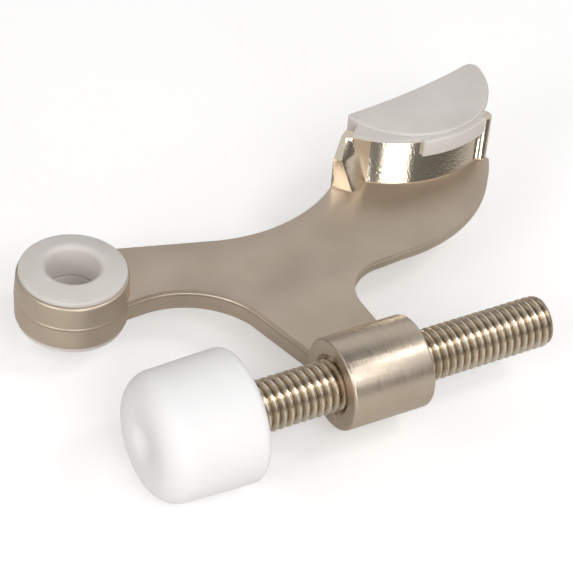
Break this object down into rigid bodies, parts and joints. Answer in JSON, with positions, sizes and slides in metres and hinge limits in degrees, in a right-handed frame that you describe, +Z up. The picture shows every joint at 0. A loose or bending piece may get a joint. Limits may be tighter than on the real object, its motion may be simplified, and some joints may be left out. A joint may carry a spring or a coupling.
{
  "type": "hinge-pin door stop",
  "caption": "Hinge-pin door stop: cast arm with a bushed pin eye, a screw-adjusted rubber bumper on a threaded rod, and a curved head with a clip-on door pad.",
  "frame": {"origin": "centre of the ring eye's bore, half way up it", "axes": "+Z up along the hinge pin, +X along the threaded rod away from its bumper, +Y towards the side of the door pad"},
  "size_m": [0.0883, 0.0599, 0.0204],
  "materials": {
    "satin_nickel": "satin nickel plating",
    "bushing_plastic": "moulded, semi-matt",
    "pad_plastic": "moulded, semi-matt",
    "nickel_steel": "nickel plated, bright",
    "white_rubber": "matt white"
  },
  "bodies": {
    "arm": {"body_casting": "satin_nickel", "upper_bushing": "bushing_plastic", "lower_bushing": "bushing_plastic", "door_pad": "pad_plastic"},
    "tip": {"bumper_tip": "white_rubber"},
    "rod": {"threaded_rod": "nickel_steel"}
  },
  "joints": [
    {"name": "bumper_adjust", "type": "slide", "parent": "arm", "child": "tip", "axis": [1, 0, 0], "range_m": [-0.02, 0.0148]},
    {"name": "rod_turn", "type": "hinge", "parent": "tip", "child": "rod", "pos_m": [0, -0.0338, 0], "axis": [1, 0, 0], "range_deg": [-5761, 4264]}
  ],
  "couplings": [
    {"joint": "rod_turn", "follows": "bumper_adjust", "rad_per_m": 5026.5}
  ]
}
